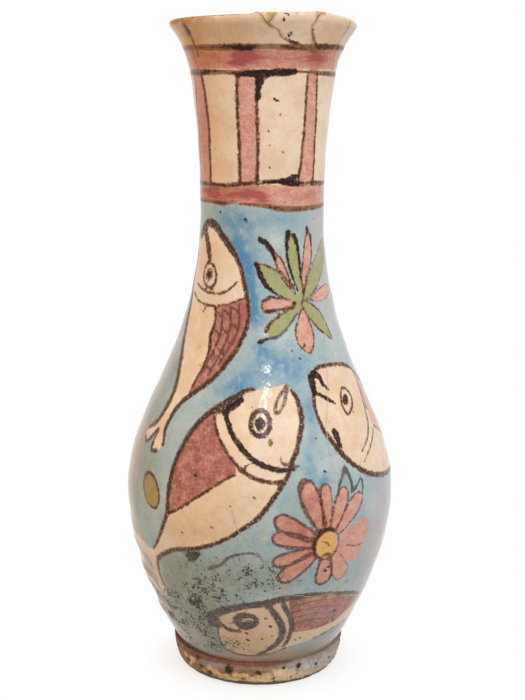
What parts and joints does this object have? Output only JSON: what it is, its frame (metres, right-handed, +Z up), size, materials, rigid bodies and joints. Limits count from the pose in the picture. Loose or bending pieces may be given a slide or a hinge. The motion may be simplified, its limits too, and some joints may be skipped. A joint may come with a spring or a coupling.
{
  "type": "fish vase",
  "caption": "Painted and glazed earthenware vase with a low foot ring, full belly, long neck and flared mouth, broken and glued together again. Holds cut flowers.",
  "frame": {"origin": "on the axis of the vase, in the plane that it stands on", "axes": "+Z up along the axis, -Y towards the painted front, +X to the right seen from the front"},
  "size_m": [0.1238, 0.1238, 0.3],
  "materials": {
    "foot_clay": "bare clay, worn",
    "body_glaze": "painted under a clear glaze, pitted",
    "cream_glaze": "painted under a clear glaze",
    "filler": "aged yellow filler"
  },
  "bodies": {
    "root": {"foot_ring": "foot_clay", "lower_body": "body_glaze", "lower_body_sherd": "body_glaze", "shoulder": "body_glaze", "shoulder_sherd": "body_glaze", "neck": "cream_glaze", "mouth_front": "cream_glaze", "mouth_left": "cream_glaze", "mouth_right": "cream_glaze", "mouth_wedge": "cream_glaze", "mouth_corner": "cream_glaze", "rim_fill_front": "filler", "rim_fill_right": "filler"}
  },
  "joints": []
}
